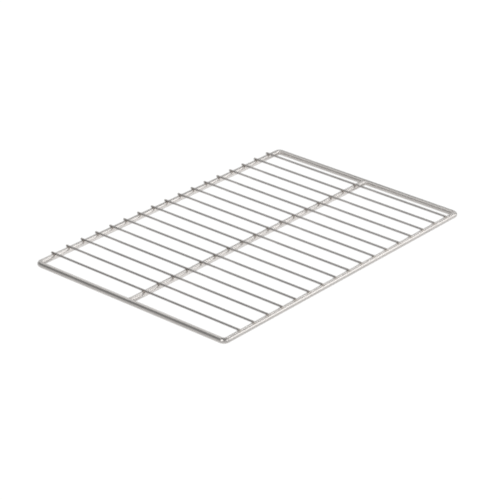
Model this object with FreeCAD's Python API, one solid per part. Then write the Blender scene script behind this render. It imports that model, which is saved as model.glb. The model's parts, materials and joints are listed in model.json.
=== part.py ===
"""Oven shelf rack: a bent rod frame, one centre support and a row of welded cross wires.

X runs along the long sides, Y along the wires and Z up. The origin is under the middle of the
rack, at the level of the surface that it lies on. The near end of the rack is the one at -X.
"""
import FreeCAD, Part
import os
from math import sqrt

# Outside of the frame
LENGTH = 530.0
WIDTH = 325.0

# Round stock
ROD_DIAMETER = 8.0
WIRE_DIAMETER = 3.0

# Inside radius of the four bends of the frame
BEND_INSIDE_RADIUS = 1.5

# Row of wires: each gap runs from the axis of a short side to the axis of the nearest wire.
# The wires lie towards the +Y side: there they end flush with the frame, and at -Y on its axis
WIRE_COUNT = 17
NEAR_END_GAP = 29.5
FAR_END_GAP = 26.5

# Welds: how far a wire is pressed into the rods and the support into the short sides, the size
# of the collar at each end of the support, and how far the collar is dressed down from the rods
WIRE_SET_DOWN = 0.6
SUPPORT_SET_IN = 2.0
COLLAR_LEG = 1.5
COLLAR_DRESSING = 0.5

# Values worked out from the sizes above; the support is cut from the same rod as the frame
SUPPORT_DIAMETER = ROD_DIAMETER
ROD_RADIUS = ROD_DIAMETER / 2
SUPPORT_RADIUS = SUPPORT_DIAMETER / 2
WIRE_RADIUS = WIRE_DIAMETER / 2
BEND_RADIUS = BEND_INSIDE_RADIUS + ROD_RADIUS
SHORT_SIDE_X = LENGTH / 2 - ROD_RADIUS
LONG_SIDE_Y = WIDTH / 2 - ROD_RADIUS
INNER_FACE_X = SHORT_SIDE_X - ROD_RADIUS
SUPPORT_END_X = INNER_FACE_X + SUPPORT_SET_IN
SUPPORT_Z = ROD_DIAMETER - SUPPORT_RADIUS
WIRE_Z = ROD_DIAMETER + WIRE_RADIUS - WIRE_SET_DOWN
WIRE_PITCH = (2 * SHORT_SIDE_X - NEAR_END_GAP - FAR_END_GAP) / (WIRE_COUNT - 1)
WIRE_LEFT_Y = WIDTH / 2
WIRE_RIGHT_Y = -LONG_SIDE_Y

# Turn in degrees that brings the start of the rod's section from the inner side to the top
SEAM_TURN = -90

ALONG_X = FreeCAD.Vector(1, 0, 0)
ALONG_Y = FreeCAD.Vector(0, 1, 0)


def frame_path():
    """Closed centre line of the frame: four straight sides joined by tangent quarter bends."""
    straight_x = SHORT_SIDE_X - BEND_RADIUS
    straight_y = LONG_SIDE_Y - BEND_RADIUS
    half_chord = BEND_RADIUS / sqrt(2)

    def point(x, y):
        return FreeCAD.Vector(x, y, ROD_RADIUS)

    edges = []
    for side in (1, -1):
        long_side = side * LONG_SIDE_Y
        short_side = side * SHORT_SIDE_X
        edges.append(Part.LineSegment(point(-straight_x, long_side), point(straight_x, long_side)))
        edges.append(Part.LineSegment(point(short_side, -straight_y), point(short_side, straight_y)))
        for end in (1, -1):
            bend = Part.Arc(
                point(end * straight_x, long_side),
                point(end * (straight_x + half_chord), side * (straight_y + half_chord)),
                point(end * SHORT_SIDE_X, side * straight_y),
            )
            edges.append(bend)
    return Part.Wire(Part.__sortEdges__([edge.toShape() for edge in edges]))


def outer_frame():
    """Round rod swept once round the closed centre line, its seam along the top under the wires."""
    path = frame_path()
    first_edge = path.Edges[0]
    start = first_edge.valueAt(first_edge.FirstParameter)
    heading = first_edge.tangentAt(first_edge.FirstParameter)
    section = Part.Wire([Part.makeCircle(ROD_RADIUS, start, heading)])
    section.rotate(start, heading, SEAM_TURN)
    skin = path.makePipe(section)
    return Part.Solid(Part.Shell(skin.Faces))


def weld_collar(side):
    """Weld metal round one end of the support: a cone, dressed level above and below.

    side is -1 for the near end and +1 for the far end.
    """
    foot_radius = SUPPORT_RADIUS + COLLAR_LEG
    tip_x = INNER_FACE_X - COLLAR_LEG

    def point(x, radius):
        return FreeCAD.Vector(side * x, 0, SUPPORT_Z + radius)

    outline = Part.makePolygon([
        point(tip_x, 0),
        point(tip_x, SUPPORT_RADIUS),
        point(INNER_FACE_X, foot_radius),
        point(SUPPORT_END_X, foot_radius),
        point(SUPPORT_END_X, 0),
        point(tip_x, 0),
    ])
    flared = Part.Face(outline).revolve(point(0, 0), ALONG_X, 360)

    half_height = SUPPORT_RADIUS - COLLAR_DRESSING
    corner = FreeCAD.Vector(
        min(side * tip_x, side * SUPPORT_END_X), -foot_radius, SUPPORT_Z - half_height
    )
    level = Part.makeBox(SUPPORT_END_X - tip_x, 2 * foot_radius, 2 * half_height, corner)
    return flared.common(level)


def centre_support(frame):
    """Straight rod along the middle, its ends set into the short sides and flared by the welds."""
    start = FreeCAD.Vector(-SUPPORT_END_X, 0, SUPPORT_Z)
    rod = Part.makeCylinder(SUPPORT_RADIUS, 2 * SUPPORT_END_X, start, ALONG_X)
    return rod.fuse([weld_collar(-1), weld_collar(1)]).cut(frame)


def cross_wire(index, carriers):
    """One wire cut off square, with a saddle pressed into it where it crosses each rod."""
    x = -SHORT_SIDE_X + NEAR_END_GAP + index * WIRE_PITCH
    start = FreeCAD.Vector(x, WIRE_LEFT_Y, WIRE_Z)
    wire = Part.makeCylinder(WIRE_RADIUS, WIRE_LEFT_Y - WIRE_RIGHT_Y, start, -ALONG_Y)
    return wire.cut(carriers)


def build():
    """All pieces of the rack by name."""
    frame = outer_frame()
    support = centre_support(frame)
    pieces = {"outer_frame": frame, "centre_support": support}
    for index in range(WIRE_COUNT):
        pieces[f"cross_wire_{index + 1:02d}"] = cross_wire(index, [frame, support])
    return pieces


os.makedirs("parts", exist_ok=True)
for name, shape in build().items():
    shape.exportStep(f"parts/{name}.step")
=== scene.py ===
import json
import math

import bpy
from mathutils import Matrix, Vector


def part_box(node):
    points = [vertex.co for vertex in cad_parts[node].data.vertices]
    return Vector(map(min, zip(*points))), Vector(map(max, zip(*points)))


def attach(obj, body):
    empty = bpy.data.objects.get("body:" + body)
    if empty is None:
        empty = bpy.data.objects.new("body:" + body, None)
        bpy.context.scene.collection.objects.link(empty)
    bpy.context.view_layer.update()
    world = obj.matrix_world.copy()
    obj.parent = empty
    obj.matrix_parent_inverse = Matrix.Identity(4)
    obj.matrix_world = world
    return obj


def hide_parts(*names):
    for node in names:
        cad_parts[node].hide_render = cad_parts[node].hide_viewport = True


# Oven shelf rack in drawn stainless steel: a bent rod frame, a centre support and a row of
# cross wires welded on top, on a white studio floor. Lengths are in metres.
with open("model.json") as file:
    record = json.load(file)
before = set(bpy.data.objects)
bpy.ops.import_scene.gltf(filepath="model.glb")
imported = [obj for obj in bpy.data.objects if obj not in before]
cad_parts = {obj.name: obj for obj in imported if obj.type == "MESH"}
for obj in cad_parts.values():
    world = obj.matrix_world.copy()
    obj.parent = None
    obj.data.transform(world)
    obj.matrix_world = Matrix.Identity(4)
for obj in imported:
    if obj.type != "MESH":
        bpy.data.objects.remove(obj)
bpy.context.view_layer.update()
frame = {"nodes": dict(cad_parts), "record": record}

MM = 0.001
UP = Vector((0, 0, 1))

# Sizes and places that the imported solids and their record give
FRAME_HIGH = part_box("outer_frame")[1]
SUPPORT_LOW, SUPPORT_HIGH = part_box("centre_support")
WIRE_NODES = sorted(node for node in frame["nodes"] if node.startswith("cross_wire_"))
WIRE_BOXES = [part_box(node) for node in WIRE_NODES]
MOUNTS = {mount["name"]: mount for mount in frame["record"]["mounts"]}
RUNNER_SIDE = MOUNTS["near_runner_side"]["dims"]
DECK_HEIGHT = MOUNTS["deck"]["pos_m"][2]

# The sizes of the bent rod and the wires that follow from them
ROD_RADIUS = RUNNER_SIDE["r_mm"] * MM
ROD_TOP = 2 * ROD_RADIUS
SHORT_SIDE_X = FRAME_HIGH.x - ROD_RADIUS
LONG_SIDE_Y = FRAME_HIGH.y - ROD_RADIUS
BEND_RADIUS = LONG_SIDE_Y - RUNNER_SIDE["length_mm"] * MM / 2
WIRE_RADIUS = (WIRE_BOXES[0][1].x - WIRE_BOXES[0][0].x) / 2
WIRE_XS = [(low.x + high.x) / 2 for low, high in WIRE_BOXES]
WIRE_Z = DECK_HEIGHT - WIRE_RADIUS
COLLAR_LEG = SUPPORT_HIGH.y - ROD_RADIUS
COLLAR_FEET = [SHORT_SIDE_X - ROD_RADIUS, ROD_RADIUS - SHORT_SIDE_X]
COLLAR_WELDS = [Vector((x, 0, ROD_RADIUS)) for x in COLLAR_FEET]

# Fineness of the meshes; the weld steps are the rings on each side of a weld
ROD_SIDES = 40
WIRE_SIDES = 28
BEND_STEPS = 18
WELD_STEPS = 6
CUT_EDGE_STEPS = 4
LONGEST_STEP = 12 * MM

# Welds of the wires: how far along a wire the flash reaches, by how much it swells the wire and
# how low it goes, and how far from a weld its heat tint, which also paints shade, reaches
WELD_REACH = 3.4 * MM
WELD_SWELL = 0.8 * MM
WELD_LOWEST = 1.5 * ROD_RADIUS
HEAT_AND_SHADE_REACH = 5.0 * MM

# Welds of the support: the stretch of rod that spreads into each, and by how much its top and
# bottom are dressed down there
COLLAR_LENGTH = 2 * COLLAR_LEG
COLLAR_DRESSING = 0.5 * MM

# Radius of the worn edge round the cut end of a wire
CUT_EDGE = 0.35 * MM

# Steels: the shades between which the metal varies, the tint of weld heat, which also paints
# shade at the crossings and on the +Y wire tips, the least and most roughness, and the streaks
# to a metre of length and to a turn round the rod
ROD_STEEL = {
    "dark": (0.645, 0.620, 0.598),
    "light": (0.735, 0.705, 0.680),
    "heat_and_shade_tint": (0.80, 0.76, 0.71),
    "rough": (0.17, 0.25),
    "streaks": (5, 10, 1),
}
# The wires are the rod steel painted darker, a painted shade for the dark surroundings that they
# mirror
WIRE_STEEL_PAINTED_DARKER = {
    "dark": (0.414, 0.395, 0.385),
    "light": (0.490, 0.467, 0.455),
    "heat_and_shade_tint": (1.0, 0.95, 0.89),
    "rough": (0.18, 0.28),
    "streaks": (5, 7, 1),
}

# Patterns in the steel: the noise of the streaks and of the clouds over them, the share of the
# clouds in its shade, the stretches of noise over which its shade and its roughness change, the
# strength of the relief that the streaks give, and the depth of all relief
STREAK_DETAIL = 2.0
CLOUD_SCALE = 38.0
CLOUD_DETAIL = 3.0
CLOUD_SHARE = 0.5
SHADE_SPAN = (0.32, 0.68)
ROUGH_SPAN = (0.3, 0.7)
STREAK_RELIEF = 0.10
RELIEF_DEPTH = 0.05 * MM

# Cut faces of the wires, with fine ridges across the shear
SHEAR_RIDGES = (600.0, 600.0, 4000.0)
SHEAR_SHADES = [(0.3, (0.26, 0.25, 0.24)), (0.7, (0.42, 0.41, 0.40))]
SHEAR_ROUGHNESS = 0.45
SHEAR_RELIEF = 0.4

# The camera looks at a point on the floor from the photographed angle, in degrees
CAMERA_TARGET = Vector((-0.02714, -0.01426, 0))
CAMERA_AZIMUTH = -52.90
CAMERA_ELEVATION = 25.83
CAMERA_ROLL = 2.92
CAMERA_DISTANCE = 2.9877
CAMERA_LENS = 158.172
CAMERA_SENSOR = 36.0

# Width in pixels of the film filter, a little over the usual, for the softness of the lens
LENS_SOFTNESS = 2.2

# Light levels: the white that the camera sees all round, the grey room that the steel mirrors,
# and the paper and glow of the floor under it
WHITE_LEVEL = 1.05
ROOM_LEVEL = 0.25
FLOOR_GREY = 0.85
FLOOR_GLOW = 0.41

# The white room is a dome of this radius, in steps round it and up it
ROOM_RADIUS = 30.0
ROOM_TURNS = 32
ROOM_RISES = 8

# Lit strips on the floor as (name, y of the axis of the rod beside it): their level, the gap from
# that axis, their width, their lift off the floor, and how far short of the axes of the short
# sides they stop
STRIPS = [("left_strip", LONG_SIDE_Y), ("middle_strip", 0.0)]
STRIP_LEVEL = 1.25
STRIP_GAP = 7.0 * MM
STRIP_WIDTH = 23.0 * MM
STRIP_LIFT = 0.2 * MM
STRIP_SHORT = 30.0 * MM

# Softboxes that face the rack as (name, azimuth, elevation, distance, width, height, level), with
# the azimuth in degrees from +X towards +Y
SOFTBOXES = [
    ("key_softbox", 317, 29, 2.0, 1.3, 0.62, 1.82),
    ("low_key_softbox", 317, 11, 2.0, 1.3, 0.62, 1.27),
    ("back_softbox", 44, 20, 2.0, 1.1, 1.0, 0.75),
    ("front_softbox", 190, 30, 2.6, 1.3, 1.3, 2.7),
    ("right_softbox", 268, 25, 2.2, 1.1, 1.1, 2.0),
    ("left_softbox", 80, 22, 2.0, 0.9, 0.9, 0.77),
    ("end_softbox", 12, 20, 2.0, 0.6, 0.9, 0.84),
]

# The softboxes that light the floor as well; the others only show in the steel
FLOOR_LIGHTS = ("key_softbox", "low_key_softbox", "back_softbox")

# Panels overhead that face straight down as (name, centre, width, height, level)
OVERHEADS = [
    ("overhead_panel", (0.0, 0.4, 0.5), 0.6, 0.6, 0.87),
    ("overhead_strip", (0.5, 0.0, 0.5), 0.8, 0.2, 1.83),
]


def smooth_step(value):
    """0 below 0, 1 above 1 and an even S between."""
    t = min(max(value, 0.0), 1.0)
    return t * t * (3 - 2 * t)


def fading(distance, reach):
    """1 at no distance, falling evenly to 0 at the reach."""
    return 1 - smooth_step(abs(distance) / reach)


def heat_and_shade_at(point, tint_centres):
    """1 on a spot of weld heat tint and painted shade, falling to 0 at its reach."""
    return max((fading((point - weld).length, HEAT_AND_SHADE_REACH) for weld in tint_centres), default=0.0)


def turns(sides):
    """Angles of a full turn in equal steps."""
    return [2 * math.pi * side / sides for side in range(sides)]


def stations(start, end, marks):
    """Places from start to end, close together within the reach of the heat tint and painted shade at
    each mark.
    """
    steps = range(-WELD_STEPS, WELD_STEPS + 1)
    fine = [mark + HEAT_AND_SHADE_REACH * step / WELD_STEPS for mark in marks for step in steps]
    places = sorted({start, end} | {place for place in fine if start < place < end})
    filled = []
    for low, high in zip(places, places[1:]):
        parts = max(1, math.ceil((high - low) / LONGEST_STEP))
        filled += [low + (high - low) * part / parts for part in range(parts)]
    return filled + [end]


def put(name, data):
    """New object in the scene."""
    piece = bpy.data.objects.new(name, data)
    bpy.context.scene.collection.objects.link(piece)
    return piece


def tube(name, rings, closed, material, end_material=None):
    """Mesh object through rings of points, each ring given as (distance along, points, heats).

    A tube that isn't closed on itself is capped. u of its map is the distance along the tube and
    v the turn round it; the attribute of weld heat tint and painted shade is 1 on the welds and the
    shaded wire tips and 0 away from them.
    """
    sides = len(rings[0][1])
    points = [point for ring in rings for point in ring[1]]
    heats_and_shades = [heat_and_shade for ring in rings for heat_and_shade in ring[2]]
    faces = []
    maps = []
    for i in range(len(rings) if closed else len(rings) - 1):
        here, there = i * sides, (i + 1) % len(rings) * sides
        u0 = rings[i][0]
        u1 = rings[i + 1][0] if i + 1 < len(rings) else u0 + (rings[1][0] - rings[0][0])
        for j in range(sides):
            k = (j + 1) % sides
            faces.append((here + j, here + k, there + k, there + j))
            v0, v1 = j / sides, (j + 1) / sides
            maps += [(u0, v0), (u0, v1), (u1, v1), (u1, v0)]
    walls = len(faces)
    if not closed:
        tail = (len(rings) - 1) * sides
        faces.append(tuple(reversed(range(sides))))
        faces.append(tuple(range(tail, tail + sides)))
        maps += [(rings[0][0], 1 - (j + 1) / sides) for j in range(sides)]
        maps += [(rings[-1][0], j / sides) for j in range(sides)]

    mesh = bpy.data.meshes.new(name)
    mesh.from_pydata(points, [], faces)
    mesh.uv_layers.new(name="along_and_round")
    mesh.uv_layers[0].data.foreach_set("uv", [value for pair in maps for value in pair])
    mesh.attributes.new("weld_heat_and_painted_shade", "FLOAT", "POINT").data.foreach_set("value", heats_and_shades)
    mesh.polygons.foreach_set("use_smooth", [True] * len(faces))
    mesh.materials.append(material)
    if end_material:
        mesh.materials.append(end_material)
        for face in mesh.polygons[walls:]:
            face.material_index = 1
    mesh.validate()
    return put(name, mesh)


def frame_stations():
    """Centre line of the frame as (distance along, centre, outward), starting on the +Y side.

    Each turn of the loop follows one straight side and the bend at its end, clockwise from above.
    """
    straight_x = SHORT_SIDE_X - BEND_RADIUS
    straight_y = LONG_SIDE_Y - BEND_RADIUS
    line = []
    travelled = 0.0
    for side_x, side_y in ((1, 1), (1, -1), (-1, -1), (-1, 1)):
        if side_x == side_y:
            heading, outward = Vector((side_x, 0, 0)), Vector((0, side_y, 0))
            run, offset, marks = straight_x, LONG_SIDE_Y, [side_x * x for x in WIRE_XS]
        else:
            heading, outward = Vector((0, side_y, 0)), Vector((side_x, 0, 0))
            run, offset, marks = straight_y, SHORT_SIDE_X, [0.0]
        for place in stations(-run, run, marks):
            line.append((travelled + place + run, heading * place + outward * offset, outward))
        travelled += 2 * run
        pivot = Vector((side_x * straight_x, side_y * straight_y, 0))
        for step in range(1, BEND_STEPS):
            turn = math.pi / 2 * step / BEND_STEPS
            facing = outward * math.cos(turn) + heading * math.sin(turn)
            line.append((travelled + BEND_RADIUS * turn, pivot + facing * BEND_RADIUS, facing))
        travelled += BEND_RADIUS * math.pi / 2
    return line


def frame_rod(material):
    """The rod that is bent round to the frame."""
    # Heat tint round the crossings and the support's welds, which also paints their shade
    tint_centres = [Vector((x, side * LONG_SIDE_Y, ROD_TOP)) for x in WIRE_XS for side in (1, -1)]
    tint_centres += COLLAR_WELDS
    rings = []
    for distance, centre, outward in frame_stations():
        ring = []
        for turn in turns(ROD_SIDES):
            reach = outward * math.cos(turn) - UP * math.sin(turn)
            ring.append(centre + UP * ROD_RADIUS + reach * ROD_RADIUS)
        near = [weld for weld in tint_centres if (weld - centre).length < HEAT_AND_SHADE_REACH + ROD_TOP]
        rings.append((distance, ring, [heat_and_shade_at(point, near) for point in ring]))
    piece = tube("frame_rod", rings, True, material)
    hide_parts("outer_frame")
    return piece


def support_rod(material):
    """The support, whose ends spread sideways into the welds on the short sides."""
    # Heat tint round the crossings and the welds of the ends, which also paints their shade
    tint_centres = [Vector((x, 0, ROD_TOP)) for x in WIRE_XS] + COLLAR_WELDS
    rings = []
    for x in stations(SUPPORT_LOW.x, SUPPORT_HIGH.x, WIRE_XS + COLLAR_FEET):
        to_foot = max(COLLAR_FEET[0] - abs(x), 0)
        spread = (1 - min(to_foot / COLLAR_LENGTH, 1)) ** 2
        half_width = ROD_RADIUS + COLLAR_LEG * spread
        half_height = ROD_RADIUS - COLLAR_DRESSING * spread
        ring = []
        for turn in turns(ROD_SIDES):
            y, z = half_width * math.cos(turn), half_height * math.sin(turn)
            ring.append(Vector((x, y, ROD_RADIUS + z)))
        rings.append((x, ring, [heat_and_shade_at(point, tint_centres) for point in ring]))
    piece = tube("support_rod", rings, False, material)
    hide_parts("centre_support")
    return piece


def wire_ring(x, y, radius, crossings):
    """Round section of a wire, swollen along its lower half where it is welded to a rod."""
    near = max(fading(y - crossing, WELD_REACH) for crossing in crossings)
    ring = []
    for turn in turns(WIRE_SIDES):
        low = smooth_step(0.5 + math.cos(turn))
        reach = radius + WELD_SWELL * near * low * radius / WIRE_RADIUS
        z = max(WIRE_Z - reach * math.cos(turn), WELD_LOWEST)
        ring.append(Vector((x + reach * math.sin(turn), y, z)))
    return ring


def cross_wire(index, material, end_material):
    """One wire: sheared ends with worn edges, a weld on each rod, and painted shade on its +Y end,
    laid on through the weld heat tint.
    """
    low, high = WIRE_BOXES[index]
    x = WIRE_XS[index]
    crossings = [-LONG_SIDE_Y, 0.0, LONG_SIDE_Y]
    tint_centres = [Vector((x, y, ROD_TOP)) for y in crossings]
    # Painted shade on the +Y tip: the tint darkens it for the shadow and mirror image it makes on the
    # rod
    tint_centres.append(Vector((x, high.y, WIRE_Z)))
    sections = []
    for step in range(CUT_EDGE_STEPS + 1):
        turn = math.pi / 2 * step / CUT_EDGE_STEPS
        inward = CUT_EDGE * (1 - math.sin(turn))
        radius = WIRE_RADIUS - CUT_EDGE * (1 - math.cos(turn))
        sections += [(low.y + inward, radius), (high.y - inward, radius)]
    between = stations(low.y + CUT_EDGE, high.y - CUT_EDGE, crossings)[1:-1]
    sections += [(y, WIRE_RADIUS) for y in between]
    rings = []
    for y, radius in sorted(sections):
        ring = wire_ring(x, y, radius, crossings)
        rings.append((y, ring, [heat_and_shade_at(point, tint_centres) for point in ring]))
    piece = tube(f"wire_{index + 1:02d}", rings, False, material, end_material)
    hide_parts(WIRE_NODES[index])
    return piece


class Nodes:
    """Short names for adding and joining the nodes of one material or world."""

    def __init__(self, owner):
        owner.use_nodes = True
        self.tree = owner.node_tree
        self.tree.nodes.clear()

    def add(self, kind, **settings):
        """New node with these settings."""
        node = self.tree.nodes.new(kind)
        for name, value in settings.items():
            setattr(node, name, value)
        return node

    def join(self, start, end):
        """Link from an output to an input."""
        self.tree.links.new(start, end)

    def finish(self, surface, kind="ShaderNodeOutputMaterial"):
        """Output node for a surface or, with its own kind, for a world."""
        self.join(surface, self.add(kind).inputs["Surface"])

    def noise(self, place, scale, detail):
        """Noise over a place."""
        node = self.add("ShaderNodeTexNoise")
        node.inputs["Scale"].default_value = scale
        node.inputs["Detail"].default_value = detail
        self.join(place, node.inputs["Vector"])
        return node.outputs["Fac"]

    def scaled(self, place, scale):
        """A place stretched along each axis."""
        node = self.add("ShaderNodeMapping")
        node.inputs["Scale"].default_value = scale
        self.join(place, node.inputs["Vector"])
        return node.outputs["Vector"]

    def ramp(self, factor, stops):
        """Colour ramp between two (place, colour) stops."""
        node = self.add("ShaderNodeValToRGB")
        for element, (place, colour) in zip(node.color_ramp.elements, stops):
            element.position = place
            element.color = (*colour, 1.0)
        self.join(factor, node.inputs["Fac"])
        return node.outputs["Color"]

    def relief(self, height, strength, shader):
        """Fine relief on a shader from a pattern of heights."""
        node = self.add("ShaderNodeBump")
        node.inputs["Strength"].default_value = strength
        node.inputs["Distance"].default_value = RELIEF_DEPTH
        self.join(height, node.inputs["Height"])
        self.join(node.outputs["Normal"], shader.inputs["Normal"])


def metal(name):
    """New metal as its material, nodes and shader."""
    material = bpy.data.materials.new(name)
    nodes = Nodes(material)
    shader = nodes.add("ShaderNodeBsdfPrincipled")
    shader.inputs["Metallic"].default_value = 1.0
    nodes.finish(shader.outputs["BSDF"])
    return material, nodes, shader


def steel(name, dark, light, heat_and_shade_tint, rough, streaks):
    """Drawn and polished stainless steel, tinted by the heat of the welds, a tint that also paints
    shade at the crossings and on the +Y wire tips.
    """
    material, nodes, shader = metal(name)
    along = nodes.add("ShaderNodeUVMap", uv_map="along_and_round").outputs["UV"]
    drawn = nodes.noise(nodes.scaled(along, streaks), 1.0, STREAK_DETAIL)
    place = nodes.add("ShaderNodeTexCoord").outputs["Object"]
    clouds = nodes.noise(place, CLOUD_SCALE, CLOUD_DETAIL)

    patchy = nodes.add("ShaderNodeMix", data_type="FLOAT")
    patchy.inputs["Factor"].default_value = CLOUD_SHARE
    nodes.join(drawn, patchy.inputs["A"])
    nodes.join(clouds, patchy.inputs["B"])
    shade = nodes.ramp(patchy.outputs["Result"], zip(SHADE_SPAN, (dark, light)))

    # Weld heat tint that also paints shade: dark marks where wires cross rods, and on the +Y wire
    # tips
    heat_and_shade = nodes.add("ShaderNodeAttribute", attribute_name="weld_heat_and_painted_shade")
    tinted = nodes.add("ShaderNodeMix", data_type="RGBA", blend_type="MULTIPLY")
    tinted.inputs["B"].default_value = (*heat_and_shade_tint, 1.0)
    nodes.join(heat_and_shade.outputs["Fac"], tinted.inputs["Factor"])
    nodes.join(shade, tinted.inputs["A"])
    nodes.join(tinted.outputs["Result"], shader.inputs["Base Color"])

    worn = nodes.add("ShaderNodeMapRange")
    worn.inputs["From Min"].default_value, worn.inputs["From Max"].default_value = ROUGH_SPAN
    worn.inputs["To Min"].default_value, worn.inputs["To Max"].default_value = rough
    nodes.join(drawn, worn.inputs["Value"])
    nodes.join(worn.outputs["Result"], shader.inputs["Roughness"])
    nodes.relief(drawn, STREAK_RELIEF, shader)
    return material


def sheared_steel():
    """Cut face at the end of a wire: dull, with the ridges that the shear leaves."""
    material, nodes, shader = metal("sheared_steel")
    place = nodes.add("ShaderNodeTexCoord").outputs["Object"]
    ridges = nodes.noise(nodes.scaled(place, SHEAR_RIDGES), 1.0, STREAK_DETAIL)
    nodes.join(nodes.ramp(ridges, SHEAR_SHADES), shader.inputs["Base Color"])
    shader.inputs["Roughness"].default_value = SHEAR_ROUGHNESS
    nodes.relief(ridges, SHEAR_RELIEF, shader)
    return material


def glow(name, level):
    """Plain white light of one level."""
    material = bpy.data.materials.new(name)
    nodes = Nodes(material)
    emission = nodes.add("ShaderNodeEmission")
    emission.inputs["Strength"].default_value = level
    nodes.finish(emission.outputs["Emission"])
    return material


def paper():
    """Matt floor that lights the steel from below."""
    material = bpy.data.materials.new("paper")
    nodes = Nodes(material)
    shader = nodes.add("ShaderNodeBsdfPrincipled")
    shader.inputs["Base Color"].default_value = (FLOOR_GREY, FLOOR_GREY, FLOOR_GREY, 1.0)
    shader.inputs["Roughness"].default_value = 1.0
    shader.inputs["Specular IOR Level"].default_value = 0.0
    shader.inputs["Emission Color"].default_value = (1.0, 1.0, 1.0, 1.0)
    shader.inputs["Emission Strength"].default_value = FLOOR_GLOW
    nodes.finish(shader.outputs["BSDF"])
    return material


def found_by_chance(material):
    """Leave a wide glow out of the aimed light samples, which then all go to the panels."""
    material.cycles.emission_sampling = "NONE"
    return material


def towards(azimuth, elevation):
    """Direction at an azimuth from +X towards +Y and an elevation, both in degrees."""
    turn, rise = math.radians(azimuth), math.radians(elevation)
    return Vector((math.cos(turn) * math.cos(rise), math.sin(turn) * math.cos(rise), math.sin(rise)))


def panel(name, centre, facing, width, height, material):
    """Flat stage panel that faces a point, which the steel mirrors and the camera doesn't see."""
    mesh = bpy.data.meshes.new(name)
    w, h = width / 2, height / 2
    mesh.from_pydata([(-w, -h, 0), (w, -h, 0), (w, h, 0), (-w, h, 0)], [], [(0, 1, 2, 3)])
    mesh.materials.append(material)
    piece = put(name, mesh)
    turn = (Vector(facing) - Vector(centre)).to_track_quat("Z", "Y")
    piece.matrix_world = Matrix.LocRotScale(Vector(centre), turn, None)
    piece.visible_camera = False
    piece.visible_diffuse = name in FLOOR_LIGHTS


def white_room():
    """Floor and dome that only the camera sees, so the background is white from every side."""
    points = []
    for level in range(ROOM_RISES):
        rise = math.pi / 2 * level / ROOM_RISES
        flat, z = ROOM_RADIUS * math.cos(rise), ROOM_RADIUS * math.sin(rise) - MM
        points += [(flat * math.cos(turn), flat * math.sin(turn), z) for turn in turns(ROOM_TURNS)]
    top = (ROOM_RISES - 1) * ROOM_TURNS
    faces = [tuple(range(ROOM_TURNS)), tuple(range(top, top + ROOM_TURNS))]
    for ring in range(0, top, ROOM_TURNS):
        for step in range(ROOM_TURNS):
            here, there = ring + step, ring + (step + 1) % ROOM_TURNS
            faces.append((here, there, there + ROOM_TURNS, here + ROOM_TURNS))
    mesh = bpy.data.meshes.new("floor")
    mesh.from_pydata(points, [], faces)
    mesh.materials.append(found_by_chance(glow("white_room", WHITE_LEVEL)))
    piece = put("floor", mesh)
    piece.visible_diffuse = False
    piece.visible_glossy = False
    piece.visible_shadow = False


def studio():
    """White room for the camera, and a grey one with a lit floor and panels for the steel."""
    scene = bpy.context.scene
    scene.view_settings.view_transform = "Standard"
    scene.cycles.filter_width = LENS_SOFTNESS
    scene.world = bpy.data.worlds.new("studio")
    nodes = Nodes(scene.world)
    sky = nodes.add("ShaderNodeBackground")
    sky.inputs["Color"].default_value = (ROOM_LEVEL, ROOM_LEVEL, ROOM_LEVEL, 1.0)
    nodes.finish(sky.outputs["Background"], "ShaderNodeOutputWorld")

    white_room()
    span = 2 * ROOM_RADIUS
    panel("lit_floor", (0, 0, 0), UP, span, span, found_by_chance(paper()))
    length = 2 * (SHORT_SIDE_X - STRIP_SHORT)
    for name, rod_y in STRIPS:
        centre = Vector((0, rod_y - STRIP_GAP - STRIP_WIDTH / 2, STRIP_LIFT))
        panel(name, centre, centre + UP, length, STRIP_WIDTH, glow(name, STRIP_LEVEL))
    for name, azimuth, elevation, distance, width, height, level in SOFTBOXES:
        centre = towards(azimuth, elevation) * distance
        panel(name, centre, (0, 0, 0), width, height, glow(name, level))
    for name, centre, width, height, level in OVERHEADS:
        below = (centre[0], centre[1], 0)
        panel(name, centre, below, width, height, glow(name, level))


def camera():
    """Camera at the photographed angle."""
    data = bpy.data.cameras.new("camera")
    data.lens = CAMERA_LENS
    data.sensor_width = CAMERA_SENSOR
    azimuth, elevation = math.radians(CAMERA_AZIMUTH), math.radians(CAMERA_ELEVATION)
    flat = math.cos(elevation)
    back = Vector((math.sin(azimuth) * flat, -math.cos(azimuth) * flat, math.sin(elevation)))
    level = (-back).to_track_quat("-Z", "Y").to_matrix()
    rolled = level @ Matrix.Rotation(math.radians(CAMERA_ROLL), 3, "Z")
    piece = put("camera", data)
    place = CAMERA_TARGET + back * CAMERA_DISTANCE
    piece.matrix_world = Matrix.LocRotScale(place, rolled.to_quaternion(), None)
    bpy.context.scene.camera = piece


def main():
    """The rack, its studio and the camera."""
    rod_steel = steel("rod_steel", **ROD_STEEL)
    # The wires take the darker steel, a painted shade
    wire_steel_painted_darker = steel("wire_steel_painted_darker", **WIRE_STEEL_PAINTED_DARKER)
    cut_steel = sheared_steel()
    pieces = [frame_rod(rod_steel), support_rod(rod_steel)]
    pieces += [cross_wire(index, wire_steel_painted_darker, cut_steel) for index in range(len(WIRE_NODES))]
    for piece in pieces:
        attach(piece, "root")
    studio()
    camera()


main()
